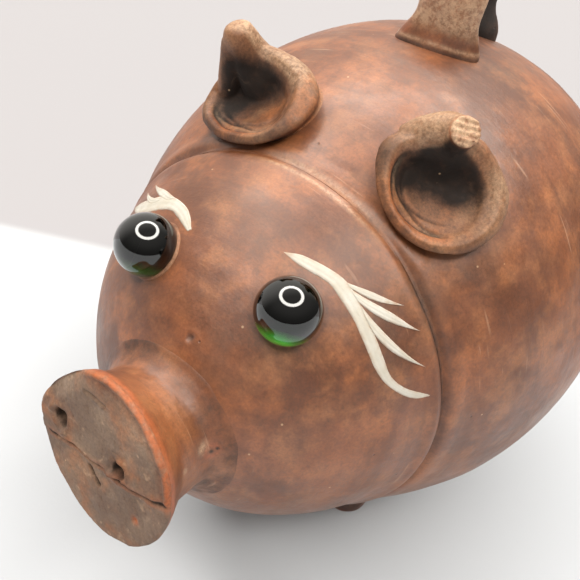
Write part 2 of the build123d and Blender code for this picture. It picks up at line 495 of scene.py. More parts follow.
def head_sections(y, inset):
    """Half width, half height and middle height of the drooping egg's cuts across the Y axis."""
    c, s = math.cos(HEAD_DROOP), math.sin(HEAD_DROOP)
    long, wide = HEAD_HALF_LENGTH - inset, HEAD_RADIUS - inset
    dy = y - HEAD_CENTRE[1]
    a = c ** 2 / wide ** 2 + s ** 2 / long ** 2
    b = 2 * dy * s * c * (1 / long ** 2 - 1 / wide ** 2)
    k = dy ** 2 * (s ** 2 / wide ** 2 + c ** 2 / long ** 2) - 1
    middle = -b / (2 * a)
    inside = np.maximum(middle ** 2 - k / a, 0)
    across = wide * np.sqrt(a * inside)
    return across, np.sqrt(inside), HEAD_CENTRE[2] + middle


def head_rows(columns=540):
    """The head's double wall, from its inner pole round the seam's edge to its outer pole."""
    def front(inset):
        c, s = math.cos(HEAD_DROOP), math.sin(HEAD_DROOP)
        reach = math.hypot((HEAD_HALF_LENGTH - inset) * c, (HEAD_RADIUS - inset) * s)
        return HEAD_CENTRE[1] - reach
    part = np.linspace(0, 1, 4000)
    y = front(0) + (SEAM_Y - front(0)) * (1 - part ** 2 * (2 - part))
    y = np.clip(y, front(0) + 0.004, SEAM_Y)
    across, _, _ = head_sections(y, 0)
    along = np.concatenate([[0], np.cumsum(np.hypot(np.diff(y), np.diff(across)))])
    y = np.interp(growing_steps(along[-1], 0.3, 0.06, 0.78), along, y)
    to_seam = 1 - smooth(SEAM_Y - y, 0, 15)
    at_seam = (SEAM_RADIUS, SEAM_RADIUS, SEAM_RISE)
    sections = [size + to_seam * (seam - size[0]) for size, seam in zip(head_sections(y, 0), at_seam)]
    rows = HEAD.uneven(hoops(y, *sections, columns))
    rows[0, :, 1] = SEAM_Y
    part = np.linspace(0, 1, 16)
    inner_y = front(HEAD_WALL) + 0.05 + (SEAM_Y - front(HEAD_WALL) - 0.05) * (1 - part) ** 1.8
    inner = hoops(inner_y, *head_sections(inner_y, HEAD_WALL), columns)
    return np.concatenate([inner[::-1], rows])


# --- materials

def tone(red, green, blue):
    """A colour from 0 to 255 as the eye reads it, for a shader's socket."""
    def straight(value):
        value = value / 255
        return value / 12.92 if value <= 0.04045 else ((value + 0.055) / 1.055) ** 2.4
    return (straight(red), straight(green), straight(blue), 1.0)


class Wiring:
    """Short ways to wire one tree of nodes."""

    def __init__(self, tree):
        self.tree = tree
        self.tree.nodes.clear()

    def add(self, kind, values=None, **settings):
        node = self.tree.nodes.new(kind)
        for key, value in settings.items():
            setattr(node, key, value)
        for socket, value in (values or {}).items():
            if isinstance(value, bpy.types.NodeSocket):
                self.tree.links.new(value, node.inputs[socket])
            else:
                node.inputs[socket].default_value = value
        return node

    def between(self, value, low, high, start=0.0, end=1.0):
        node = self.add("ShaderNodeMapRange", {
            "Value": value, "From Min": low, "From Max": high, "To Min": start, "To Max": end},
            interpolation_type="SMOOTHSTEP")
        return node.outputs[0]

    def math(self, operation, first, second):
        return self.add("ShaderNodeMath", {0: first, 1: second}, operation=operation).outputs[0]

    def times(self, first, second):
        return self.math("MULTIPLY", first, second)

    def along(self, vector, way):
        """How far the vector reaches this way."""
        return self.add("ShaderNodeVectorMath", {0: vector, 1: way}, operation="DOT_PRODUCT").outputs["Value"]


class Shader(Wiring):
    """A material's nodes, placed by object coordinates."""

    def __init__(self, name):
        self.material = bpy.data.materials.new(name)
        self.material.use_nodes = True
        super().__init__(self.material.node_tree)
        self.where = self.add("ShaderNodeTexCoord").outputs["Object"]

    def scaled(self, size, stretch, shift):
        scale = [part / (size * MM) for part in stretch]
        values = {"Vector": self.where, "Scale": scale, "Location": (shift,) * 3}
        return self.add("ShaderNodeMapping", values).outputs[0]

    def noise(self, size, detail=3.0, rough=0.55, shift=0.0, stretch=(1, 1, 1), warp=0.0):
        """Noise whose largest features are this many millimetres wide."""
        return self.add("ShaderNodeTexNoise", {
            "Vector": self.scaled(size, stretch, shift), "Scale": 1.0,
            "Detail": detail, "Roughness": rough, "Distortion": warp}).outputs[0]

    def cloud(self, size, detail, rough, shift, low, high, start=0.0, end=1.0, **more):
        """Noise eased from start to end as it goes from low to high."""
        return self.between(self.noise(size, detail, rough, shift, **more), low, high, start, end)

    def specks(self, size, shift, edge, channel, low, high):
        """Scattered specks: points this many millimetres apart, of which a random few are kept."""
        cells = self.add("ShaderNodeTexVoronoi", {
            "Vector": self.scaled(size, (1, 1, 1), shift), "Scale": 1.0, "Randomness": 1.0})
        draw = self.add("ShaderNodeSeparateColor", {0: cells.outputs["Color"]}).outputs[channel]
        near = self.between(cells.outputs["Distance"], edge, 0.09, 1, 0)
        return self.times(near, self.between(draw, low, high))

    def mix(self, part, first, second, how="MIX"):
        values = {0: part, 6: first, 7: second}
        return self.add("ShaderNodeMix", values, data_type="RGBA", blend_type=how).outputs[2]

    def mark(self, name):
        return self.add("ShaderNodeAttribute", attribute_name=name).outputs["Fac"]

    def bump(self, height, depth, before=None):
        """Raises the surface by depth millimetres where the height is 1."""
        values = {"Height": height, "Distance": depth * MM, "Strength": 1.0}
        if before is not None:
            values["Normal"] = before
        return self.add("ShaderNodeBump", values).outputs[0]

    def surface(self, **values):
        """The one shader, its sockets named with underscores for spaces."""
        values = {key.replace("_", " "): value for key, value in values.items()}
        shader = self.add("ShaderNodeBsdfPrincipled", values)
        self.add("ShaderNodeOutputMaterial", {"Surface": shader.outputs[0]})
        return self.material


def clay(name, dark, middle, light, smoke=0.4, gloss=0.4, grain=1.0, turned=1.0, shift=0.0, sheen=0.75):
    """Low-fired clay: clouded brown, smoke-greyed and orange-worn patches, fine grain, scratches and pits,
    with painted shade towards the floor and a dark mark that is smoke in some places and painted shade in
    others.
    """
    s = Shader(name)
    colour = s.mix(s.cloud(34, 4, 0.6, shift, 0.36, 0.62, warp=0.4), dark, middle)
    colour = s.mix(s.cloud(12, 4, 0.62, shift + 3, 0.44, 0.72, 0, 0.7), colour, light)
    streaks = s.cloud(9, 4, 0.6, shift + 5, 0.44, 0.62, 0, 0.55 * turned, stretch=(0.2, 1.5, 0.2), warp=0.3)
    colour = s.mix(streaks, colour, dark)
    orange = s.times(s.cloud(19, 4, 0.65, shift + 11, 0.46, 0.66),
                     s.cloud(5.5, 3, 0.6, shift + 14, 0.36, 0.62, 0.3, 1))
    colour = s.mix(s.times(orange, 0.55), colour, ORANGE)
    grey = s.times(s.cloud(27, 4, 0.6, shift + 21, 0.5, 0.7),
                   s.cloud(7, 3, 0.6, shift + 24, 0.3, 0.65, 0.3, 1, stretch=(0.5, 1.3, 0.5)))
    colour = s.mix(s.times(grey, smoke), colour, GREY)
    # Painted shade: the clay darkens towards the floor, halfway to dark brown below 30 mm and not at all
    # above 80 mm.
    height = s.add("ShaderNodeSeparateXYZ", {0: s.where}).outputs[2]
    colour = s.mix(s.between(height, 0.03, 0.08, 0.5, 0), colour, tone(84, 52, 34))
    colour = s.mix(s.cloud(1.5, 4, 0.75, shift + 27, 0.5, 0.72, 0, 0.3 * grain), colour, tone(70, 44, 30))
    wear = s.times(s.mark("worn"), s.cloud(2.2, 4, 0.7, shift + 31, 0.28, 0.62, 0.35, 1))
    colour = s.mix(wear, colour, tone(164, 86, 46))
    # The dark mark: smoke patches in some places, painted shade in cracks, creases, holes, recesses and where
    # parts meet in others.
    soot_and_shade = s.mark("soot_and_shade")
    ragged = s.times(s.math("SUBTRACT", s.noise(3.2, 5, 0.75, shift + 41), 0.5), 0.9)
    soot_and_shade = s.times(s.between(s.math("ADD", soot_and_shade, ragged), 0.05, 1.05), s.between(soot_and_shade, 0.0, 0.3))
    colour = s.mix(s.times(soot_and_shade, 0.96), colour, tone(20, 13, 9))
    pale = s.times(s.mark("pale"), s.cloud(1.4, 4, 0.7, shift + 51, 0.34, 0.6, 0.3, 1))
    colour = s.mix(pale, colour, tone(196, 162, 130))
    fine = s.noise(0.7, 3, 0.7, shift + 8)
    shade = s.between(fine, 0.25, 0.75, 1 - 0.22 * grain, 1 + 0.16 * grain)
    tint = s.add("ShaderNodeCombineColor", {0: shade, 1: shade, 2: shade}).outputs[0]
    colour = s.mix(1.0, colour, tint, "MULTIPLY")
    scratch = s.times(s.cloud(1.6, 2, 0.5, shift + 81, 0.66, 0.72, stretch=(0.07, 1.4, 0.1), warp=0.35),
                      s.cloud(15, 2, 0.5, shift + 84, 0.5, 0.62))
    colour = s.mix(s.times(scratch, 0.24 * turned), colour, tone(198, 160, 130))
    lime = s.specks(4.2, shift + 2, 0.05, 0, 0.9, 0.92)
    colour = s.mix(s.times(lime, 0.5), colour, tone(206, 172, 134))
    pit = s.specks(5.2, shift + 6, 0.04, 1, 0.84, 0.87)
    colour = s.mix(s.times(pit, 0.6), colour, tone(48, 31, 22))
    rough = s.cloud(16, 4, 0.65, shift + 61, 0.3, 0.7, gloss - 0.06, gloss + 0.1)
    rough = s.math("ADD", rough, s.times(soot_and_shade, 0.3))
    rough = s.math("ADD", rough, s.between(fine, 0.3, 0.7, 0, 0.08))
    normal = s.bump(s.noise(2.6, 3, 0.6, shift + 71, (0.05, 1.6, 0.05), 0.2), 0.05 * turned)
    normal = s.bump(s.noise(3.0, 4, 0.6, shift + 77), 0.06 + 0.05 * grain, normal)
    normal = s.bump(fine, 0.028 * grain, normal)
    normal = s.bump(scratch, -0.02, normal)
    normal = s.bump(pit, -0.12, normal)
    return s.surface(Base_Color=colour, Roughness=rough, Specular_IOR_Level=sheen, Normal=normal)


def glass(name, centre, glow):
    """Bottle-green glass, nearly black, with a polished skin; a swirled patch low in front is painted lighter
    green and glows, a painted glow standing in for light focused through the glass.
    """
    s = Shader(name)
    place = s.add("ShaderNodeVectorMath", {0: s.where, 1: list(centre)}, operation="SUBTRACT").outputs[0]
    low = s.along(place, (0.2, -0.5, -0.84))
    low = s.between(low, 0.45 * MARBLE_RADIUS * MM, 0.86 * MARBLE_RADIUS * MM, 0, glow)
    # Painted light: the swirled patch low in front gets a lighter green colour and a green glow.
    light = s.times(low, s.cloud(7, 3, 0.5, 0, 0.25, 0.6, 0.45, 1, stretch=(1, 0.5, 1), warp=1.4))
    colour = s.mix(light, tone(3, 14, 8), tone(60, 200, 45))
    lit = s.mix(light, tone(0, 0, 0), tone(16, 150, 22))
    rough = s.cloud(2.5, 3, 0.6, 0, 0.45, 0.8, 0.012, 0.04)
    return s.surface(Base_Color=colour, Roughness=rough, IOR=1.52, Transmission_Weight=1.0, Coat_Weight=0.6,
                     Coat_IOR=1.5, Coat_Roughness=0.01, Emission_Color=lit, Emission_Strength=0.7)


def slip():
    """Cream-white slip, laid on with a brush."""
    s = Shader("white_slip")
    streak = s.noise(1.4, 4, 0.6, 0, (0.7, 1.0, 0.9), 0.6)
    colour = s.mix(s.cloud(6, 3, 0.6, 4, 0.3, 0.7), tone(193, 189, 180), tone(181, 174, 160))
    thin = s.times(s.mark("worn"), s.between(streak, 0.34, 0.66, 0.1, 1))
    colour = s.mix(thin, colour, tone(160, 120, 90))
    fleck = s.cloud(0.5, 2, 0.6, 9, 0.6, 0.74)
    colour = s.mix(s.times(fleck, 0.35), colour, tone(186, 164, 134))
    normal = s.bump(s.noise(0.45, 3, 0.6), 0.03, s.bump(streak, 0.06))
    return s.surface(Base_Color=colour, Roughness=s.between(streak, 0.3, 0.7, 0.55, 0.75), Normal=normal)


def paper():
    """The pale sheet that the pig stands on, darker and pinker beyond a soft straight line: painted shade
    standing in for the backdrop's far wall.
    """
    s = Shader("studio_paper")
    across = s.along(s.where, (-math.sin(VIEW_TURN), math.cos(VIEW_TURN), 0))
    back = s.between(across, (PAPER_LINE - 4) * MM, (PAPER_LINE + 6) * MM)
    # Painted shade on the paper beyond the line.
    colour = s.mix(back, tone(180, 183, 188), tone(150, 148, 151))
    normal = s.bump(s.noise(1.5, 3), 0.02)
    return s.surface(Base_Color=colour, Roughness=0.9, Specular_IOR_Level=0.2, Normal=normal)


VIEW_TURN = math.radians(28.9)
PAPER_LINE = 92.0
ORANGE = tone(166, 100, 56)
GREY = tone(92, 76, 64)

burnished = clay("burnished_clay", tone(92, 51, 28), tone(127, 73, 41), tone(152, 98, 60))
smoked = clay("smoked_clay", tone(94, 60, 40), tone(128, 86, 58), tone(156, 114, 82),
              smoke=0.5, gloss=0.48, grain=1.5, turned=0.2, shift=30, sheen=0.4)
bare = clay("bare_clay", tone(104, 82, 68), tone(128, 106, 88), tone(146, 122, 102),
            smoke=0.5, gloss=0.6, grain=1.1, turned=0.1, shift=60, sheen=0.3)
raw = clay("raw_clay", tone(112, 76, 54), tone(140, 102, 76), tone(162, 126, 98),
           smoke=0.3, gloss=0.55, grain=1.2, turned=0.1, shift=90, sheen=0.4)
white_slip = slip()


# --- body and head

eyes = {}
for side in ("left", "right"):
    low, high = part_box("eye_marble_" + side)
    eyes[side] = (np.array(low) + np.array(high)) / 2 / MM - CENTRE

SNOUT_CENTRE = np.array([0.0, -129.1, 1.9])
SNOUT_YAW = math.radians(-4.2)
SNOUT_TILT = math.radians(5.4)
SNOUT_OUT = np.array([
    math.sin(SNOUT_YAW) * math.cos(SNOUT_TILT),
    -math.cos(SNOUT_YAW) * math.cos(SNOUT_TILT),
    math.sin(SNOUT_TILT),
])
SNOUT_LEFT = np.array([math.cos(SNOUT_YAW), math.sin(SNOUT_YAW), 0.0])
SNOUT_UP = np.cross(SNOUT_OUT, SNOUT_LEFT)


def from_snout(x, y, z):
    """Places in the snout disc's own frame, as places from the body's middle."""
    x, y, z = (part[..., None] for part in np.broadcast_arrays(x, y, z))
    return SNOUT_CENTRE + x * SNOUT_LEFT + y * SNOUT_UP + z * SNOUT_OUT


def on_snout(radius, turn, depth, x=0.0, y=0.0):
    """Places round a line along the snout's axis, at a radius and an angle in radians."""
    return from_snout(x + radius * np.cos(turn), y + radius * np.sin(turn), depth)


def to_snout(points):
    gap = points - SNOUT_CENTRE
    return gap @ SNOUT_LEFT, gap @ SNOUT_UP, gap @ SNOUT_OUT


def snout_tool(x, y, radii, depths, wobble=0.0):
    """A closed cutter along the snout's axis, as wide as given at each depth."""
    turn = circle(72)
    radii = np.array(radii)[:, None] * (1 + wobble * np.sin(3 * turn + 1.1) + 0.5 * wobble * np.sin(5 * turn))
    return mesh_object("tool", *skin(on_snout(radii, turn, np.array(depths)[:, None], x, y)))


def slot_tool():
    """A closed cutter for the coin slot, its ends rounded."""
    turn = circle(48)
    half = SLOT_WIDTH / 2
    x = half * np.cos(turn) + 0.12 * np.sin(7 * turn)
    y = half * np.sin(turn) + np.sign(np.sin(turn)) * (SLOT_LENGTH / 2 - half)
    levels = np.array([[-SLOT_DEPTH / 2], [SLOT_DEPTH / 2]])
    return mesh_object("tool", *skin(np.array([0, SLOT_Y, BODY_RADIUS - SLOT_DEPTH / 2]) + xyz(x, y, levels)))


# Painted shade along the seam's crease: a narrow dark line, weaker between the ears where the crease is
# nearly smeared over, and a wide faint band at the sides.
def seam_shade(points, gap):
    strength = smooth(np.abs(clock(points) - 2), 20, 48)
    return 0.48 * bell(gap, 1.5) * mix(0.25, 1.0, strength) + 0.2 * bell(gap, 5) * strength


body = mesh_object("body_formed", *skin(body_rows()))
carve(body, [slot_tool()])
at = places(body)
gap = np.maximum(at[:, 1] - SEAM_Y, 0) * BODY_SLOPE
top_line = bell(gap - 1.0, 0.9) * (1 - smooth(np.abs(clock(at) - 8), 8, 22))
slot_edge = bell(np.abs(at[:, 0]) / 2.8 - 1, 0.35) * (np.abs(at[:, 1] - SLOT_Y) < 19) * (at[:, 2] > 50)
# The body's dark mark is painted shade in the seam's crease.
finish_piece(body, "body_shell", burnished, {
    "soot_and_shade": seam_shade(at, gap), "pale": 0.35 * top_line, "worn": 0.5 * slot_edge}, crease=50)

head = mesh_object("head_formed", *skin(head_rows()))
head_tools = [ball("tool", eyes[side], MARBLE_RADIUS + 0.08) for side in eyes]
head_tools.append(snout_tool(0.0, 0.0, (BORE_RADIUS, BORE_RADIUS), (-8.0, -42.0)))
carve(head, head_tools)
at = places(head)
gap = np.maximum(SEAM_Y - at[:, 1], 0) * HEAD_SLOPE
sx, sy, _ = to_snout(at)
from_axis = np.hypot(sx, sy)
# Painted shade: in the seam's crease, and mottled round the snout's root where the collar meets the head.
soot_and_shade = seam_shade(at, gap) + 0.2 * bell(np.maximum(from_axis - 20, 0), 5) * (0.6 + 0.6 * fractal(at, 9, 91))
# Painted shade inside three of the pits.
for centre, radius, depth in PITS[:2] + PITS[3:4]:
    soot_and_shade = soot_and_shade + 0.9 * bell(distance(at, centre), radius * 0.8)
pale = 0.5 * bell(gap - 1.6, 0.7) * (1 - smooth(np.abs(clock(at) - 6), 10, 26))
pale = pale + 0.8 * bell(distance(at, PITS[5][0]), 0.9)
# Painted shade in a ring round each eye, just outside its clay lip.
for centre in eyes.values():
    across = np.linalg.norm(np.cross(at - centre, HEAD.outward(centre)), axis=1)
    soot_and_shade = soot_and_shade + 0.3 * bell(across - 8.6, 1.2)
finish_piece(head, "head_shell", burnished, {"soot_and_shade": soot_and_shade, "pale": pale}, crease=50)


# --- eyes

def ring_about(centre, axis, seed, radius=7.3, thickness=0.75):
    """An uneven ring of clay that hugs the head round an eye."""
    left = unit(np.cross(axis, np.array([0.0, 0.0, 1.0])))
    up = np.cross(left, axis)
    angle = circle(120)
    flat = np.outer(np.cos(angle), left) + np.outer(np.sin(angle), up)
    reach = radius + 0.25 * fractal(flat * 6, 5, seed, 3)
    on_head = HEAD.land(centre + flat * reach[:, None] + 30 * axis, -axis, -0.1)
    thick = thickness * (1 + 0.3 * fractal(flat * 9, 5, seed + 9, 3))
    spin = circle(20)[:, None]
    offset = np.cos(spin) * flat[:, None] + 0.85 * np.sin(spin) * axis
    return skin(on_head[:, None] + thick[:, None, None] * offset, joined=True)


for number, (side, centre) in enumerate(eyes.items()):
    green_glass = glass("green_glass_" + side, (centre + CENTRE) * MM, EYE_GLOW[side])
    marble = ball("eye_marble_" + side + "_glass", centre, MARBLE_RADIUS, 128, 80)
    finish_piece(marble, "eye_marble_" + side, green_glass)
    lip = mesh_object("eye_lip_" + side + "_pressed", *ring_about(centre, HEAD.outward(centre), 5 + number))
    at = places(lip)
    finish_piece(lip, "eye_lip_" + side, raw, {
        "soot_and_shade": 0.4 * smooth(fractal(at, 6, 17), -0.4, 0.6), "worn": 0.15 * np.ones(len(at))})


# --- brows

def brow_stroke(upper, lower, proud, seed, columns=110):
    """One brush stroke between two edges given as (x, z), laid on the head, and how thin it is."""
    first, second = curve_through(upper, columns), curve_through(lower, columns)
    part = np.linspace(0, 1, 13)
    flat = first[:, None] * (1 - part)[:, None] + second[:, None] * part[:, None]
    on_head = HEAD.meet(xyz(flat[..., 0], -200.0, flat[..., 1]), np.array([0.0, 1.0, 0.0]))
    width = np.linalg.norm(second - first, axis=1)[:, None]
    full = np.minimum(1, width / 1.6) * (1 - np.abs(2 * part - 1) ** 5)
    ridge = 0.03 * np.cos(part * 5 * math.pi) * np.minimum(1, width / 2)
    height = (proud + 0.05 * fractal(on_head, 2.5, seed, 3)) * full + ridge * full
    rows = np.concatenate([HEAD.uneven(on_head, height), HEAD.uneven(on_head, -0.35)[:, ::-1]], axis=1)
    thin = np.maximum(np.abs(2 * part - 1) ** 3 * 0.7, (1 - smooth(width, 0.3, 1.3)) * 0.6)
    thin = np.concatenate([thin, thin[:, ::-1]], axis=1)
    return skin(rows), np.concatenate([thin.ravel(), [0, 0]])


BROWS = {
    "brow_left": (
        (((10.7, 46.9), (15, 47.2), (21.2, 46.1), (26, 44.3), (30.7, 40.9), (36.6, 35.2), (40.5, 30.4),
          (43.2, 26.6), (46.2, 23.5), (49, 21.3), (52.1, 19.1)),
         ((10.7, 46.9), (16.1, 45.5), (21.1, 44.4), (24.7, 42.9), (30.8, 38.6), (34.8, 34.7), (37.6, 31.5),
          (40.5, 27.9), (44.1, 24), (49.4, 19.5), (52.1, 19.1))),
        (((26, 44.3), (31.7, 42.8), (38.2, 40.2)), ((27, 43.5), (33.3, 41.3), (38.2, 40.2))),
        (((27, 43.5), (36.5, 39.4), (43.4, 35)), ((30.7, 40.9), (36.9, 37.8), (43.4, 35))),
        (((30.7, 40.9), (39.4, 34.4), (48.2, 26.8)), ((36.6, 35.2), (41.3, 31.5), (48.2, 26.8))),
    ),
    "brow_right": (
        (((-12.9, 42.5), (-15.7, 43.6), (-19.5, 43.9), (-25.6, 42.5), (-31, 39.6),
          (-38.6, 33.4), (-44.4, 27.7)),
         ((-13.6, 41.8), (-16.7, 41.8), (-19.7, 41.7), (-22.9, 41.2), (-27.4, 38.9),
          (-37.6, 31.4), (-44.4, 27.7))),
        (((-25.0, 42.7), (-31.5, 40.6), (-39.8, 36.4)), ((-27.0, 41.0), (-30.4, 39.6), (-39.8, 36.4))),
        (((-29.4, 40.0), (-34.3, 37.2), (-41.9, 33.2)), ((-31.4, 38.0), (-34.6, 35.8), (-41.9, 33.2))),
    ),
}

for name, strokes in BROWS.items():
    laid = [brow_stroke(*edges, 0.13 + 0.025 * number, 40 + number) for number, edges in enumerate(strokes)]
    brow = mesh_object(name + "_painted", *joined([solid for solid, thin in laid]))
    finish_piece(brow, name, white_slip, {
        "worn": np.concatenate([thin for solid, thin in laid])})


# --- snout

RIM = (
    (0, 22.0), (11, 21.9), (30, 22.2), (48, 22.2), (68, 22.8), (89, 23.4), (110, 23.2), (125, 22.2),
    (142, 21.8), (160, 22.8), (180, 24.2), (-165, 24.2), (-150, 23.7), (-120, 23.4), (-90, 23.5),
    (-60, 23.5), (-45, 23.0), (-20, 22.3),
)
CRACK = np.array([(-19.5, -6.4), (-16, -5.6), (-12.5, -4.3), (-9.5, -3.2), (-5.9, -3.5), (-2.6, -3.3),
                  (0.2, -2.2), (5.4, -2.2), (10.1, -1.0), (13.0, 0.4), (16.5, 1.0), (20.5, 3.2)])
GASH = np.array([(-4.1, -6.1), (-2.4, -7.6), (-0.4, -8.8)])
SHORT_CRACK = np.array([(-8.2, 15.3), (-5.0, 15.9), (-1.8, 15.7)])
NOSTRILS = ((-16.1, 0.7, 2.7), (5.5, 1.2, 2.3))
CHIP = (12.9, -9.3)
RIDGE = (-4, 18, 104, 124)
FACE_THICKNESS = 5.0
PLUG_RADIUS = 19.0


def face_height(x, y, edge):
    """The snout face's unevenness: a torn slab pressed on roughly.

    edge is each point's share of the rim's radius.
    """
    flat = xyz(x, y, 0.0).reshape(-1, 3)
    edge = np.broadcast_to(edge, x.shape).ravel()
    height = 0.4 * fractal(flat, 11, 201, 3) + 0.16 * fractal(flat, 3.2, 211, 3)
    gap, side = nearest_on(flat[:, :2], CRACK)
    ragged = gap + 0.3 * fractal(flat, 1.6, 221, 2)
    ends = 1 - 0.8 * smooth(np.abs(flat[:, 0]), 12, 20)
    height = height + 0.5 * ends * side * bell(gap, 5.5)
    depth = 1.5 + 0.5 * fractal(flat, 6, 231, 2)
    height = height - ends * (depth * bell(ragged, 0.55) - 0.3 * bell(gap - 1.3, 0.7))
    for line, depth, wide in ((GASH, 1.0, 0.75), (SHORT_CRACK, 0.6, 0.4)):
        gap, _ = nearest_on(flat[:, :2], line)
        height = height - depth * bell(gap, wide) + 0.15 * bell(gap - 1.0, 0.5)
    for left, up, radius in NOSTRILS:
        gap = np.hypot(flat[:, 0] - left, flat[:, 1] - up)
        turn = np.arctan2(flat[:, 1] - up, flat[:, 0] - left)
        torn = 0.5 + 0.35 * np.sin(2 * turn + left) + 0.25 * np.sin(5 * turn)
        height = height + torn * bell(gap - radius - 0.9, 0.8) - 1.6 * bell(gap, radius * 1.05)
    height = height - 0.6 * bell(distance(flat[:, :2], CHIP), 1.0)
    chips = fractal(flat, 1.4, 251, 3)
    height = height - 0.16 * smooth(chips, 0.3, 0.6) + 0.08 * smooth(-chips, 0.25, 0.6)
    turn = np.degrees(np.arctan2(flat[:, 1], flat[:, 0]))
    ridge = window(turn, *RIDGE)
    height = height + 0.5 * ridge * bell((edge - 0.98) * 23, 0.9)
    height = height - 0.45 * ridge * bell((edge - 0.92) * 23, 1.8)
    torn_edge = window(turn, 112, 128, 158, 172)
    height = height - 0.4 * smooth(edge, 0.97, 1.0) - 1.3 * torn_edge * smooth(edge, 0.8, 1.0)
    return height.reshape(x.shape)


def rim_line(columns):
    """Angles round the snout's rim in radians, and its ragged radius at each."""
    angle = np.linspace(0, 360, columns, endpoint=False)
    turn = np.radians(angle)
    ragged = fractal(xyz(30 * np.cos(turn), 30 * np.sin(turn), 0.0), 6, 261, 3)
    return turn, around(RIM, angle)[:, 0] + 0.18 * ragged


turn, rim = rim_line(420)
share = np.linspace(0.012, 1, 86)[:, None]
radius = share * (rim - 0.35)
x, y = radius * np.cos(turn), radius * np.sin(turn)
front = from_snout(x, y, face_height(x, y, share) - 0.1)
behind = [on_snout(radius, turn, depth) for radius, depth in (
    (rim - 0.25, -1.2), (rim - 0.6, -2.0), (rim - 1.4, -2.5), (PLUG_RADIUS, -2.5),
    (PLUG_RADIUS, -FACE_THICKNESS), (0.5 * PLUG_RADIUS, -FACE_THICKNESS))]
disc = mesh_object("snout_disc_pressed", *skin(np.concatenate([front, np.array(behind)])))
carve(disc, [
    snout_tool(left, up, (radius * 1.05, radius * 0.85, radius * 0.75), (1.6, -1.8, -9.0), 0.06)
    for left, up, radius in NOSTRILS
])
at = places(disc)
sx, sy, sz = to_snout(at)
degrees = np.degrees(np.arctan2(sy, sx))
edge = np.hypot(sx, sy) / around(RIM, degrees)[:, 0]
ridge = window(degrees, *RIDGE)
crack_gap, _ = nearest_on(xyz(sx, sy), CRACK)
gash_gap, _ = nearest_on(xyz(sx, sy), GASH)
# Painted shade in the crack and the gash, and on the bevel inside the rim's ridge, which faces away from the
# light.
soot_and_shade = 1.0 * bell(crack_gap, 0.6) + 1.0 * bell(gash_gap, 0.75) + 0.35 * ridge * bell((edge - 0.9) * 23, 1.6)
# Painted shade inside the nostrils and round their torn lips.
for left, up, radius in NOSTRILS:
    hole = np.hypot(sx - left, sy - up)
    soot_and_shade = soot_and_shade + 0.95 * (1 - smooth(hole, radius * 0.75, radius * 1.15)) * (sz > -4.9)
    soot_and_shade = soot_and_shade + 0.3 * bell(hole - radius - 1.2, 0.8)
worn = 0.75 * ridge * bell((edge - 0.985) * 23, 0.5) + 0.3 * ridge * bell((edge - 0.92) * 23, 1.5)
worn = worn + 0.9 * bell(distance(xyz(sx, sy), CHIP), 1.1) + 0.25 * bell(crack_gap - 1.0, 0.6)
pale = 0.35 * smooth(fractal(at, 1.8, 271, 3), 0.35, 0.6)
finish_piece(disc, "snout_disc", bare, {"soot_and_shade": soot_and_shade, "worn": worn, "pale": pale}, crease=60)

turn, rim = rim_line(300)
flat_out = np.outer(np.cos(turn), SNOUT_LEFT) + np.outer(np.sin(turn), SNOUT_UP)


def depth_of_head(radius):
    """How far behind the snout's face the head's surface is, at this radius all round."""
    hit = HEAD.land(SNOUT_CENTRE + flat_out * np.asarray(radius).reshape(-1, 1), -SNOUT_OUT)
    return (hit - SNOUT_CENTRE) @ SNOUT_OUT


profile = [
    (BORE_RADIUS, -26.0), (BORE_RADIUS, -FACE_THICKNESS), (PLUG_RADIUS, -FACE_THICKNESS), (PLUG_RADIUS, -2.0),
    (rim - 1.6, -1.9),
]
waist = 17.6 + 0.5 * np.cos(turn - 2.4)
outer = [
    (rim - 0.45, -1.6), (rim - 1.0, -3.2),
    (mix(waist, rim - 0.5, 0.52), -5.8), (mix(waist, rim - 0.5, 0.14), -9.4),
    (waist, depth_of_head(19.5) + 4.6), (waist + 0.7, depth_of_head(19.5) + 2.2),
]
outer += [(waist + more, depth_of_head(waist + more) + up)
          for more, up in ((2.6, 0.5), (4.6, 0.02), (5.6, -0.7))]
rows = [on_snout(across, turn, depth) for across, depth in profile]
rows += [on_snout(line[:, 0], turn, line[:, 1]) for line in profiles(outer, len(turn), 80)]
rows = np.array(rows)
skin_rows = slice(len(profile) + 2, len(rows) - 3)
ripple = 0.22 * fractal(rows, 9, 281, 3) + 0.08 * fractal(rows, 2.5, 285, 3)
rows[skin_rows] = rows[skin_rows] + (ripple[..., None] * flat_out[None])[skin_rows]
collar = mesh_object("snout_collar_thrown", *skin(rows))
at = places(collar)
sx, sy, sz = to_snout(at)
ridge = window(np.degrees(np.arctan2(sy, sx)), -30, 0, 104, 130)
worn = 0.55 * ridge * bell(sz + 2.2, 1.5) + 0.25 * bell(sz + 2.5, 0.8)
worn = worn + 0.8 * bell(distance(at, (18.0, -111.9, 5.6)) - 1.6, 0.7)
# Painted shade, mottled, towards the head where the collar meets it.
soot_and_shade = 0.35 * smooth(-sz, 10, 19) * (1 + fractal(at, 8, 295, 3))
soot_and_shade = soot_and_shade + 0.25 * smooth(fractal(at, 9, 297, 3), 0.0, 0.5)
for mark, reach in (((18.2, -112.0, 5.4), 0.5), ((18.8, -110.6, 6.1), 0.4)):
    soot_and_shade = soot_and_shade + 0.9 * bell(distance(at, mark), reach)
pale = 0.7 * bell(distance(at, (17.1, -114.1, 7.5)), 1.5) + 0.8 * bell(distance(at, (18.2, -120.8, 6.3)), 0.7)
finish_piece(collar, "snout_collar", burnished, {
    "soot_and_shade": soot_and_shade, "worn": worn, "pale": pale}, crease=60)


# --- ears

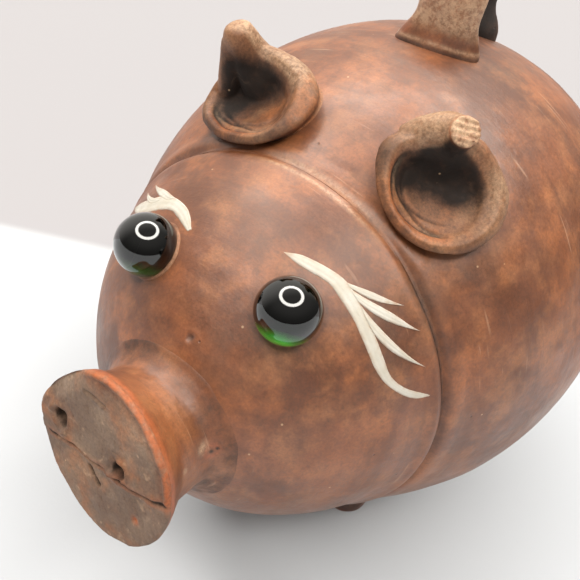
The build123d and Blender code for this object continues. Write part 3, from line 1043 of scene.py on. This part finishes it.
# Each ear has its own frame at its base: towards the pig's left, towards its back, and out of the body.
NEAR_EAR = {
    "base": (29.8, -51.1, 58.1),
    "bowl": (
        # angle from the left towards the back; base radius, ridge radius, ridge height, half thickness
        (0, 13.8, 14, 4.5, 2.5), (45, 17, 14.5, 6, 4), (80, 16, 12.5, 9, 4), (110, 15, 11, 12, 4),
        (130, 15, 10, 13, 4.3), (150, 16, 11, 12.3, 4.5), (180, 16.5, 13.4, 10.2, 4.2),
        (-165, 15.5, 15, 8.6, 3.3), (-135, 12.8, 14.2, 6, 2.1), (-90, 11.2, 12.8, 3.8, 1.7),
        (-45, 11.5, 13.2, 3.6, 1.7),
    ),
    "horn": (
        # left, back, out, radius
        (-9, 11, 0, 7), (-8.7, 9.8, 6, 6.4), (-7.9, 8.6, 10.5, 5.1), (-7.0, 7.6, 14.6, 4.1),
        (-6.3, 6.9, 17.6, 3.6),
    ),
    "flank": ((-14.8, 1.0, 5, 3.6), (-13.0, 4.5, 8.5, 4.0), (-10.2, 7.3, 12, 4.0), (-7.6, 7.9, 14.5, 3.4)),
    # middle and reach of each dark patch inside the cup, and how dark it is
    "soot_and_shade": (((-4, 3, 4), (8.5, 8, 9), 1.25), ((3, 5.5, 5), (6, 5, 6), 0.9), ((-8, -5, 3), (3, 4, 4), 0.7),
             ((-5, 2, 12), (7, 4.5, 5), 1.0)),
    "pale": (((-12, 7, 12), (9, 9, 8), 0.6), ((9, 9, 8), (6, 8, 6), 0.5)),
    "pits": (((6.0, 9.5, 8.5), 0.9, 0.9), ((6.9, 8.6, 7.2), 0.5, 0.5), ((-2.0, -1.0, 1.5), 0.3, 0.2)),
    "cut_end": True,
}
FAR_EAR = {
    "base": (-22.6, -53.1, 60.0),
    "bowl": (
        (-90, 11.2, 12.4, 3.6, 1.8), (-45, 13.6, 15, 4.2, 2.2), (0, 15.6, 14.6, 6.8, 4.2),
        (30, 15.8, 12.5, 9, 4.2), (60, 14.5, 10.5, 10.8, 3.9), (80, 14, 9.4, 13, 4), (110, 14, 9.2, 14.5, 4),
        (135, 14.5, 10.5, 12.5, 3.7), (155, 15.5, 13, 9, 3), (175, 16.5, 15.2, 6.2, 2.6),
        (-165, 16, 15.8, 4.8, 2.2), (-135, 13, 13.4, 4.2, 1.8),
    ),
    "horn": (
        (-2.6, 9, 2, 7.5), (-3.3, 8.9, 8, 6.2), (-3.5, 8.6, 13, 5.1), (-3.4, 8.3, 17, 4.6),
        (-3.2, 8.1, 19.1, 4.1), (-3.1, 8.0, 20.4, 3.1), (-3.0, 8.0, 21.1, 1.4),
    ),
    "flank": ((-12.6, 3.0, 3, 3.0), (-10.0, 5.4, 8, 3.6), (-7.3, 7.0, 12.5, 3.9), (-5.0, 7.8, 16.5, 3.8)),
    "soot_and_shade": (((-5, 3.5, 6), (7.5, 6.5, 8), 1.1), ((4, 4, 7), (5, 4.5, 6), 0.8),
             ((-9, -2, 3), (5, 4.5, 5), 0.8), ((-5, 4.5, 11), (4, 4, 4), 0.7)),
    "pale": (((0, 12, 19), (7, 8, 7), 0.8), ((9, 8, 8), (9, 9, 7), 0.6)),
    "pits": (((12.5, 4.0, 7.5), 1.1, 0.5), ((11.0, 6.5, 8.5), 0.8, 0.35), ((14, 1, 5), 0.7, 0.3)),
    "cut_end": False,
}
EAR_FLOOR = 1.5


def spots(local, table):
    """The sum of soft-edged patches given as (middle, reach, strength)."""
    total = 0.0
    for middle, extent, strength in table:
        off = (local - np.array(middle)) / np.array(extent)
        total = total + strength * np.exp(-(off ** 2).sum(axis=-1))
    return total


def off_angle(degrees, middle):
    """How many degrees an angle is from this one, the shorter way round."""
    return np.abs((degrees - middle + 180) % 360 - 180)


def ear(name, shape, seed, columns=240):
    """A bowl of clay pinched up into a horn, finished as one piece."""
    base = np.array(shape["base"])
    out = BODY.outward(base)
    back = unit(np.array([0.0, 1.0, 0.0]) - out[1] * out)
    side = np.cross(back, out)
    axes = np.array([side, back, out])
    angle = np.linspace(0, 360, columns, endpoint=False)
    root, ridge, high, thick = around(shape["bowl"], angle).T
    turn = np.radians(angle)
    flat = np.outer(np.cos(turn), side) + np.outer(np.sin(turn), back)

    def ground(radius):
        return (BODY.land(base + flat * radius[:, None] + 60 * out, -out) - base) @ out

    floor = np.minimum(7.0, 0.62 * (ridge - thick))
    inner = ridge - 0.95 * thick
    outer = ridge + 0.95 * thick
    level = ground(root)
    apron = mix(0.35, 1.8, smooth(off_angle(angle, -80), 70, 120))
    lines = profiles((
        (0.1, EAR_FLOOR), (0.55 * floor, EAR_FLOOR), (floor, EAR_FLOOR + 0.5),
        (mix(floor, inner, 0.62), mix(EAR_FLOOR, high, 0.3)), (inner, mix(EAR_FLOOR, high, 0.7)),
        (ridge - 0.6 * thick, high - 0.3 * thick), (ridge, high), (ridge + 0.65 * thick, high - 0.4 * thick),
        (outer, high - thick), (mix(outer, root, 0.55), mix(high - thick, level, 0.5)), (root, level + 0.35),
        (root + 0.6 * apron, ground(root + 0.6 * apron) - 0.02), (root + apron, ground(root + apron) - 0.8),
        (0.8 * root, level - 3.0),
    ), columns, 130)
    bowl = base + lines[..., :1] * flat[None] + lines[..., 1:] * out
    bowl = bowl - (1 - smooth(lines[..., 0], 4, 10))[..., None] * back
    solids = [skin(bowl)]
    for path in (shape["horn"], shape["flank"]):
        spine = curve_through(path, 60)
        solids.append(skin(base + tube(spine[:, :3], spine[:, 3], 60) @ axes))
    item = mesh_object(name + "_pinched", *joined(solids))
    fuse(item, 0.36, 14)

    at = places(item)
    facing = normals(item)
    local = (at - base) @ axes.T
    degrees = np.degrees(np.arctan2(local[:, 1], local[:, 0]))
    radius = np.hypot(local[:, 0], local[:, 1])
    _, ridge, high, thick = around(shape["bowl"], degrees).T
    facing_out = (facing @ side * local[:, 0] + facing @ back * local[:, 1]) / np.maximum(radius, 0.5)
    inside = smooth(0.45 - facing_out, 0, 0.5) * (1 - smooth(radius - ridge + 0.6 * thick, -0.8, 0.9))
    above = ((at - BODY.meet(at + 60 * out, -out)) * out).sum(axis=1)
    front = 1 - smooth(off_angle(degrees, -100), 50, 85)
    height = 0.28 * fractal(at, 7, seed, 3) + 0.13 * fractal(at, 2.4, seed + 10, 3)
    height = height * smooth(above, -0.5, 1.5)
    folds = 0.0
    for from_rim, depth in ((2.0, 0.45), (3.6, 0.4), (5.2, 0.3)):
        wander = from_rim + 0.5 * np.sin(3 * np.radians(degrees) + 2 * from_rim)
        folds = folds + depth * inside * front * bell(radius - (ridge - wander), 0.45)
    height = height - folds
    for middle, size, depth in shape["pits"]:
        ragged = distance(local, middle) + 0.3 * fractal(at, 1.0, seed + 20, 2)
        height = height - depth * (1 - smooth(ragged, 0.4 * size, 1.2 * size))
    tip, before = np.array(shape["horn"])[[-1, -2], :3]
    end_axis = unit(tip - before)
    to_end = (local - tip) @ end_axis
    on_cut = smooth(to_end, -0.9, -0.35) * shape["cut_end"]
    stripe = local @ np.cross(end_axis, np.array([0.75, 0.66, 0.0]))
    height = height + 0.13 * on_cut * np.sin(stripe * 2 * math.pi / 1.5 + 0.15 * local[:, 0])
    move(item, at + height[:, None] * facing)

    # Painted shade: in the fold creases, and on the front outer wall under the rim's overhang, darkest at its
    # foot. Inside the cup, the listed dark patches.
    wall = (1 - inside) * front * smooth(facing_out, 0.0, 0.6)
    soot_and_shade = inside * spots(local, shape["soot_and_shade"]) + 1.5 * folds
    soot_and_shade = soot_and_shade + wall * (0.45 + 0.7 * (1 - smooth(above, 1.0, 2.6)))
    worn = 0.25 * on_cut + 0.6 * bell(to_end + 0.9, 0.6) * shape["cut_end"]
    worn = worn + 0.3 * front * bell(radius - ridge + 1.2, 0.5)
    pale = (1 - inside) * spots(local, shape["pale"])
    pale = pale + 0.22 * front ** 3 * inside * bell(radius - ridge + 2.9, 0.5)
    finish_piece(item, name, smoked, {"soot_and_shade": soot_and_shade, "worn": worn, "pale": pale + 0.7 * on_cut})


ear("ear_left", NEAR_EAR, 301)
ear("ear_right", FAR_EAR, 351)


# --- loop, tail and feet

LOOP_PATH = (
    (-0.6, -6.0, 74.0), (-0.4, -6.0, 80.0), (0.0, -6.0, 86.0), (0.4, -5.6, 92.0), (0.6, -2.6, 99.2),
    (0.6, 3.6, 104.6), (0.4, 9.5, 105.8), (0.2, 15.4, 104.6), (0.0, 21.6, 99.2), (0.0, 24.8, 92.0),
    (0.0, 25.0, 86.0), (0.0, 25.0, 80.0), (0.0, 25.0, 73.0),
)
LOOP_MIDDLE = np.array([-2.25, 9.5, 0.0])
LOOP_YAW = math.radians(13.6)
SECTION_POWER = 2.1


def askew(vectors, sign=1):
    """Turns about the vertical by the loop's yaw, or back again with sign -1."""
    c, s = math.cos(LOOP_YAW), sign * math.sin(LOOP_YAW)
    x, y = vectors[..., 0], vectors[..., 1]
    return np.stack([c * x - s * y, s * x + c * y, vectors[..., 2]], axis=-1)


def rounded(wave):
    """A sine or cosine squared off a little."""
    return (np.sign(wave) * np.abs(wave) ** (2 / SECTION_POWER))[:, None]


path = curve_through(np.array(LOOP_PATH) - np.array([0.0, LOOP_MIDDLE[1], 0.0]), 190)
left = np.array([1.0, 0.0, 0.0])
outward = unit(np.cross(left, unit(np.gradient(path, axis=0))))
from_back = path[:, 2] - BODY_RADIUS
flare = 1 - smooth(from_back, -1.5, 10.0)
wide = (9.0 + 3.6 * flare ** 1.5)[:, None, None] * rounded(np.cos(circle(64))) * left
deep = (3.5 + 2.2 * flare ** 2)[:, None, None] * rounded(np.sin(circle(64))) * outward[:, None]
rows = path[:, None] + wide + deep
dent = 0.5 * fractal(rows, 12, 401, 3) + 0.14 * fractal(rows, 3, 411, 3)
groove = 0.35 * np.sin(rows[..., 0] / 1.7 + 0.5 * fractal(rows, 20, 421, 2))
groove = groove * smooth(from_back, 2, 9)[:, None]
rows = rows + (dent + 0.2 * groove)[..., None] * unit(rows - path[:, None])
loop = mesh_object("back_loop_pulled", *skin(LOOP_MIDDLE + askew(rows)))
at = places(loop)
own = askew(at - LOOP_MIDDLE, -1)
overhead = at * np.array([1, 1, 0]) + np.array([0, 0, 150.0])
above_back = at[:, 2] - BODY.meet(overhead, np.array([0, 0, -1.0]))[:, 2]
inside_loop = bell(np.hypot(own[:, 1], (own[:, 2] - 88) * 0.7) - 9, 5.5)
at_root = bell(above_back - 0.2, 0.9) * (own[:, 1] < 2)
back_leg = window(own[:, 1], 6, 12, 14.5, 18)
smear = smooth(own[:, 0], -7, 3) * bell(own[:, 2] - 93, 10) * (own[:, 1] < 0) * (0.5 + fractal(at, 7, 431, 3))
bare_front = 0.75 * smooth(above_back, 3, 8) * (own[:, 1] < -14)
# Painted shade inside the loop, on its back leg and at the front leg's root on the back; and a mottled dark
# smear on the front leg.
finish_piece(loop, "back_loop", burnished, {
    "soot_and_shade": 0.8 * inside_loop + 0.6 * at_root + 0.7 * back_leg + 0.3 * smear,
    "pale": (0.5 * bell(above_back - 1.6, 0.5) + bare_front) * (own[:, 1] < 0),
    "worn": 0.3 * smooth(fractal(at, 9, 441, 3), 0.1, 0.5)})

TAIL_Y = 96.3
TAIL_Z = 12.0
spiral = [(7.6, 88.5, TAIL_Z + 1.5), (7.4, 93.6, TAIL_Z + 0.8)]
for step in range(0, 13):
    spin = math.radians(12 + step * 24)
    curl = 7.0 - 0.11 * step
    spiral.append((curl * math.cos(spin), TAIL_Y + 0.5 * math.sin(spin / 2), TAIL_Z - curl * math.sin(spin)))
path = curve_through(spiral, 150)
part = np.linspace(0, 1, len(path))
thick = mix(3.1, 2.0, part) * np.sqrt(np.clip((1 - part) / 0.03, 0.02, 1)) + 1.9 * bell(part, 0.09)
rows = tube(path, thick, 40, (0.0, 1.0, 0.02))
rows = rows + 0.22 * fractal(rows, 5, 451, 3)[..., None] * unit(rows - path[:, None])
tail = mesh_object("tail_curl_rolled", *skin(rows))
at = places(tail)
# Painted shade at the tail's root, where it meets the body.
finish_piece(tail, "tail_curl", burnished, {
    "soot_and_shade": 0.6 * (1 - smooth(at[:, 1], 93.0, 95.5)), "worn": 0.4 * smooth(at[:, 1], 97.0, 98.8)})


def foot(middle, seed, columns=120):
    """A stub pressed onto the belly, its root smeared out."""
    turn = circle(columns)
    flat = xyz(np.cos(turn), np.sin(turn), 0.0)
    centre = np.array([*middle, 0.0])

    def belly(radius):
        start = centre + flat * radius + np.array([0.0, 0.0, -150.0])
        return BODY.land(start, np.array([0.0, 0.0, 1.0]))[:, 2]

    level = belly(12.0)
    lines = profiles((
        (1.0, GROUND), (6.6, GROUND), (7.9, GROUND + 0.3), (8.6, GROUND + 1.6),
        (9.1, mix(GROUND, level, 0.35)),
        (10.2, mix(GROUND, level, 0.72)), (12.0, level - 1.6), (14.4, belly(14.4) - 0.35),
        (16.0, belly(16.0) + 0.1), (16.4, belly(16.4) + 1.2), (10.0, level + 3.0),
    ), columns, 70)
    rows = centre + lines[..., :1] * flat[None]
    rows[..., 2] = np.maximum(lines[..., 1], GROUND)
    side = smooth(rows[..., 2] - GROUND, 0.6, 3.0)
    ripple = (0.4 * fractal(rows, 8, seed, 3) + 0.1 * fractal(rows, 2.5, seed + 5, 3)) * side
    return skin(rows + ripple[..., None] * flat[None])


FEET = {
    "foot_front_left": (27.0, -31.0),
    "foot_front_right": (-27.0, -31.0),
    "foot_rear_left": (28.0, 38.0),
    "foot_rear_right": (-28.0, 38.0),
}
for number, (name, middle) in enumerate(FEET.items()):
    stub = mesh_object(name + "_stub", *foot(middle, 461 + 20 * number))
    at = places(stub)
    low = at[:, 2] - GROUND
    # Mottled dark patches, stronger towards the floor: smoke patches, with painted shade low on the stubs.
    finish_piece(stub, name, burnished, {
        "soot_and_shade": 0.55 * smooth(fractal(at, 10, 471, 3), -0.3, 0.4) * (1 - 0.5 * smooth(low, 8, 16)),
        "worn": 0.6 * bell(low - 0.8, 0.8)})


# --- carried-over CAD

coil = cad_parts["neck_luting_coil"]
if not coil.data.materials:
    coil.data.materials.append(raw)
for slot in coil.material_slots:
    slot.link = "OBJECT"
    slot.material = raw


# --- floor, light and camera

rows = [on_floor for radius, depth in ((1.0, 0.0), (300.0, 0.0), (3000.0, 0.0), (3000.0, 20.0), (1.0, 20.0))
        for on_floor in [xyz(radius * np.cos(circle(48)), radius * np.sin(circle(48)), GROUND - depth)]]
floor = mesh_object("paper_floor", *skin(np.array(rows)))
floor.data.materials.append(paper())
floor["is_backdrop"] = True

RING_LIGHT = 15.0
WALLS = 0.14
CEILING = 0.36
BEHIND = 0.75
world = bpy.data.worlds.new("light_tent")
bpy.context.scene.world = world
world.use_nodes = True
w = Wiring(world.node_tree)
direction = w.add("ShaderNodeTexCoord").outputs["Generated"]
height = w.add("ShaderNodeSeparateXYZ", {0: direction}).outputs["Z"]


def within(outer, inner):
    """1 nearer the zenith than inner degrees, 0 beyond outer."""
    return w.between(height, math.cos(math.radians(outer)), math.cos(math.radians(inner)))


ring = w.times(w.math("SUBTRACT", within(38, 35), within(29, 26)), RING_LIGHT)
walls = w.math("ADD", w.between(height, 0.0, 0.8, 0.0, CEILING - WALLS), WALLS)
glow = w.between(w.along(direction, (-0.78, 0.58, 0.22)), 0.1, 0.85, 0.0, BEHIND)
strength = w.math("ADD", ring, w.math("ADD", walls, glow))
background = w.add("ShaderNodeBackground", {"Color": (1.0, 0.965, 0.9, 1.0), "Strength": strength})
w.add("ShaderNodeOutputWorld", {"Surface": background.outputs[0]})

CAMERA_PLACE = np.array([80.6, -204.2, 143.2])
CAMERA_TARGET = np.array([-4.1, -50.9, 8.0])
CAMERA_ROLL = math.radians(12.25)
camera = bpy.data.objects.new("camera", bpy.data.cameras.new("camera"))
bpy.context.scene.collection.objects.link(camera)
camera.data.lens = 45.19
camera.data.sensor_width = 36.0
camera.data.clip_start = 0.01
camera.location = Vector(((CAMERA_PLACE + CENTRE) * MM).tolist())
upright = Vector((CAMERA_TARGET - CAMERA_PLACE).tolist()).to_track_quat("-Z", "Y")
camera.rotation_mode = "QUATERNION"
camera.rotation_quaternion = upright @ Quaternion((0, 0, 1), CAMERA_ROLL)
bpy.context.scene.camera = camera
bpy.context.scene.view_settings.view_transform = "Standard"

low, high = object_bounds()
